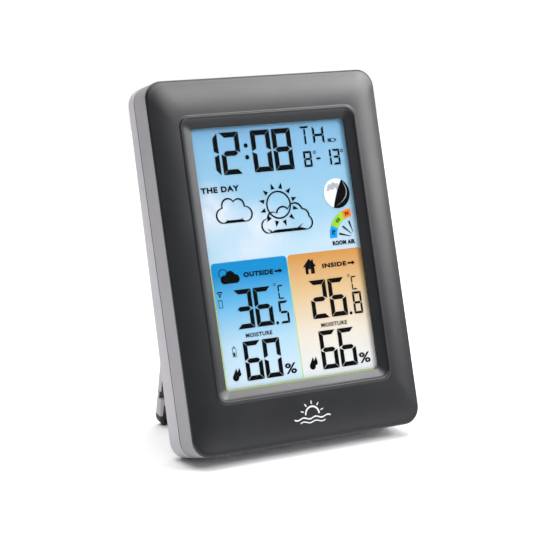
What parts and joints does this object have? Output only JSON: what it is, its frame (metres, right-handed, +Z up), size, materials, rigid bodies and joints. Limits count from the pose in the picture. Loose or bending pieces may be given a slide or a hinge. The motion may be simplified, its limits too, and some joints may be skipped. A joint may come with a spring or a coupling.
{
  "type": "home weather station",
  "caption": "Small desk weather station: leaning rectangular display unit with a domed dark bezel, two-part grey case, rear battery door, rear buttons and a folding stand.",
  "frame": {"origin": "centre of the footprint on the surface it stands on, under the middle of the unit with its stand open", "axes": "+Z up from the standing surface, +X to the right as the display is read, +Y from the display towards the stand"},
  "size_m": [0.094, 0.062, 0.132],
  "materials": {
    "bezel": "charcoal satin plastic",
    "case_grey": "silver-grey satin plastic",
    "case_rear": "light silver-grey satin plastic",
    "lens": "clear acrylic window",
    "lcd_glass": "clear display glass",
    "polariser": "polarising film",
    "film": "printed colour film",
    "light_guide": "clear acrylic light guide",
    "white_plastic": "white moulded plastic",
    "silicone": "grey elastomer",
    "board": "green solder-masked circuit board",
    "black_plastic": "black moulded plastic",
    "tin": "tinned metal",
    "steel": "plated steel",
    "copper": "copper wire",
    "cell": "sleeved dry cell",
    "rubber": "soft black rubber",
    "button_grey": "dark grey button"
  },
  "bodies": {
    "station": {"front_bezel": "bezel", "window_lens": "lens", "front_case": "case_grey", "rear_case": "case_rear", "front_polariser": "polariser", "lcd_front_glass": "lcd_glass", "lcd_rear_glass": "lcd_glass", "rear_polariser": "polariser", "colour_film": "film", "light_guide": "light_guide", "reflector_sheet": "white_plastic", "led_strip": "board", "lcd_frame": "white_plastic", "zebra_connector": "silicone", "main_board": "board", "board_screws": "steel", "processor_cap": "black_plastic", "clock_crystal": "tin", "tact_switches": "black_plastic", "light_switch": "black_plastic", "receiver_board": "board", "receiver_can": "tin", "antenna_coil": "copper", "piezo_buzzer": "black_plastic", "sensor_board": "board", "climate_sensor": "white_plastic", "battery_1": "cell", "battery_2": "cell", "battery_3": "cell", "contact_plates": "tin", "contact_springs": "steel", "case_screws": "steel", "left_foot_pad": "rubber", "right_foot_pad": "rubber"},
    "stand": {"stand": "case_rear", "stand_foot": "rubber"},
    "battery_door": {"battery_door": "case_rear"},
    "light_button": {"light_button": "button_grey"},
    "set_button": {"set_button": "button_grey"},
    "up_button": {"up_button": "button_grey"},
    "down_button": {"down_button": "button_grey"},
    "channel_button": {"channel_button": "button_grey"},
    "unit_button": {"unit_button": "button_grey"}
  },
  "joints": [
    {"name": "stand_hinge", "type": "hinge", "parent": "station", "child": "stand", "pos_m": [0, 0.01043, 0.09198], "axis": [1, 0, 0], "range_deg": [-25.32, 0]},
    {"name": "battery_door_lift", "type": "slide", "parent": "station", "child": "battery_door", "axis": [0, 0.9694, -0.2454], "range_m": [0, 0.015]},
    {"name": "light_button_press", "type": "slide", "parent": "station", "child": "light_button", "axis": [0, -0.274, -0.9617], "range_m": [0, 0.0004], "stiffness_N_per_m": 1500},
    {"name": "set_button_press", "type": "slide", "parent": "station", "child": "set_button", "axis": [0, -0.9694, 0.2454], "range_m": [0, 0.0005], "stiffness_N_per_m": 1500},
    {"name": "up_button_press", "type": "slide", "parent": "station", "child": "up_button", "axis": [0, -0.9694, 0.2454], "range_m": [0, 0.0005], "stiffness_N_per_m": 1500},
    {"name": "down_button_press", "type": "slide", "parent": "station", "child": "down_button", "axis": [0, -0.9694, 0.2454], "range_m": [0, 0.0005], "stiffness_N_per_m": 1500},
    {"name": "channel_button_press", "type": "slide", "parent": "station", "child": "channel_button", "axis": [0, -0.9694, 0.2454], "range_m": [0, 0.0005], "stiffness_N_per_m": 1500},
    {"name": "unit_button_press", "type": "slide", "parent": "station", "child": "unit_button", "axis": [0, -0.9694, 0.2454], "range_m": [0, 0.0005], "stiffness_N_per_m": 1500}
  ]
}
